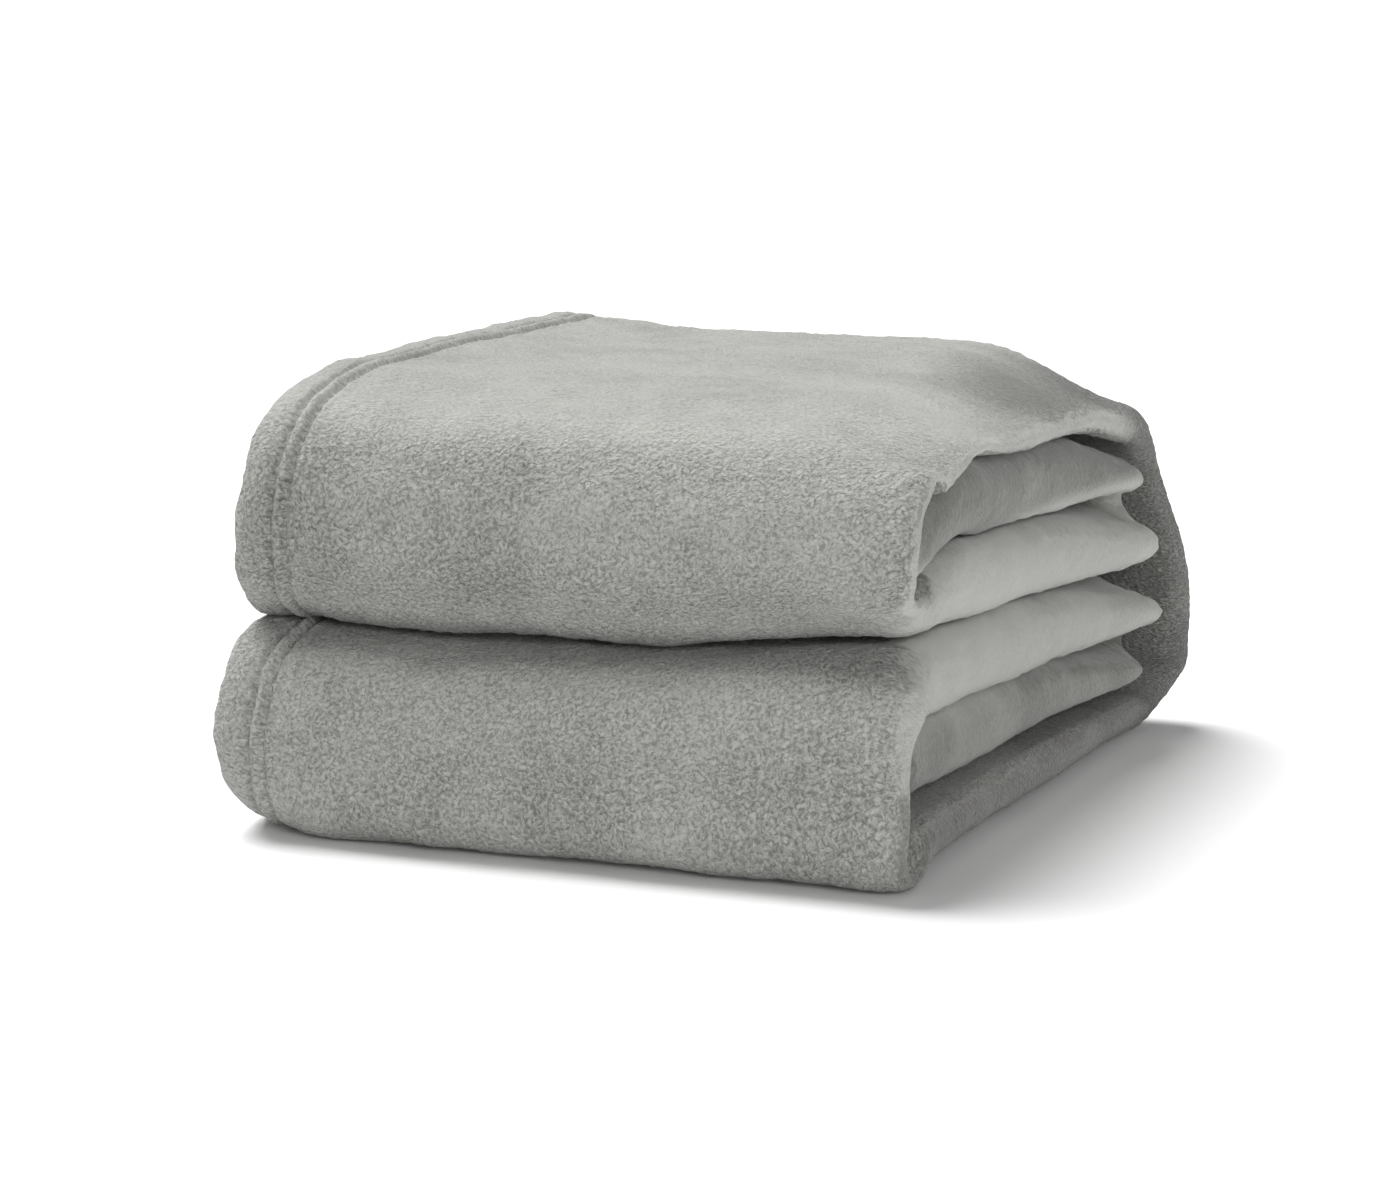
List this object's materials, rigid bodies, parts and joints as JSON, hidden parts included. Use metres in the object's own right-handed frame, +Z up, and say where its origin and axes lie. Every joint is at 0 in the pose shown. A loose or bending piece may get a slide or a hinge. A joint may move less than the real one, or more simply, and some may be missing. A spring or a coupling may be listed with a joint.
{
  "type": "folded throw blanket",
  "caption": "Plush throw blanket, folded in plies, rolled in from both ends and closed like a book, with a twin-stitched hem.",
  "frame": {"origin": "centre of the folded blanket's footprint, on the face it rests on", "axes": "+X across the plies from the sewn hem to the folded end, -Y the round front bulges, +Y the spine, +Z up through the stack"},
  "size_m": [0.212, 0.2664, 0.1291],
  "materials": {
    "plush": "brushed flannel pile, soft sheen",
    "hem": "the same pile, turned under and sewn",
    "thread": "spun sewing thread"
  },
  "bodies": {
    "lower_half": {"bottom_cover_leaf": "plush", "lower_front_fold": "plush", "lower_return_leaf": "plush", "lower_back_turn": "plush", "lower_rolled_leaf": "plush", "bottom_corner_leaf": "plush", "lower_hem": "hem", "lower_hem_stitch_outer": "thread", "lower_hem_stitch_inner": "thread"},
    "spine": {"spine_leaf": "plush", "spine_hem": "hem", "spine_hem_stitch_outer": "thread", "spine_hem_stitch_inner": "thread"},
    "upper_half": {"top_cover_leaf": "plush", "upper_front_fold": "plush", "upper_return_leaf": "plush", "upper_back_turn": "plush", "upper_rolled_leaf": "plush", "top_corner_leaf": "plush", "upper_hem": "hem", "upper_hem_stitch_outer": "thread", "upper_hem_stitch_inner": "thread"}
  },
  "joints": [
    {"name": "spine_fold", "type": "hinge", "parent": "lower_half", "child": "spine", "pos_m": [0, 0.116, 0.016], "axis": [-1, 0, 0], "range_deg": [0, 90], "deforming": ["bottom_corner_leaf"]},
    {"name": "cover_fold", "type": "hinge", "parent": "spine", "child": "upper_half", "pos_m": [0, 0.116, 0.1119], "axis": [-1, 0, 0], "range_deg": [0, 90], "deforming": ["top_corner_leaf"]}
  ],
  "couplings": [
    {"joint": "cover_fold", "follows": "spine_fold", "ratio": 1}
  ]
}
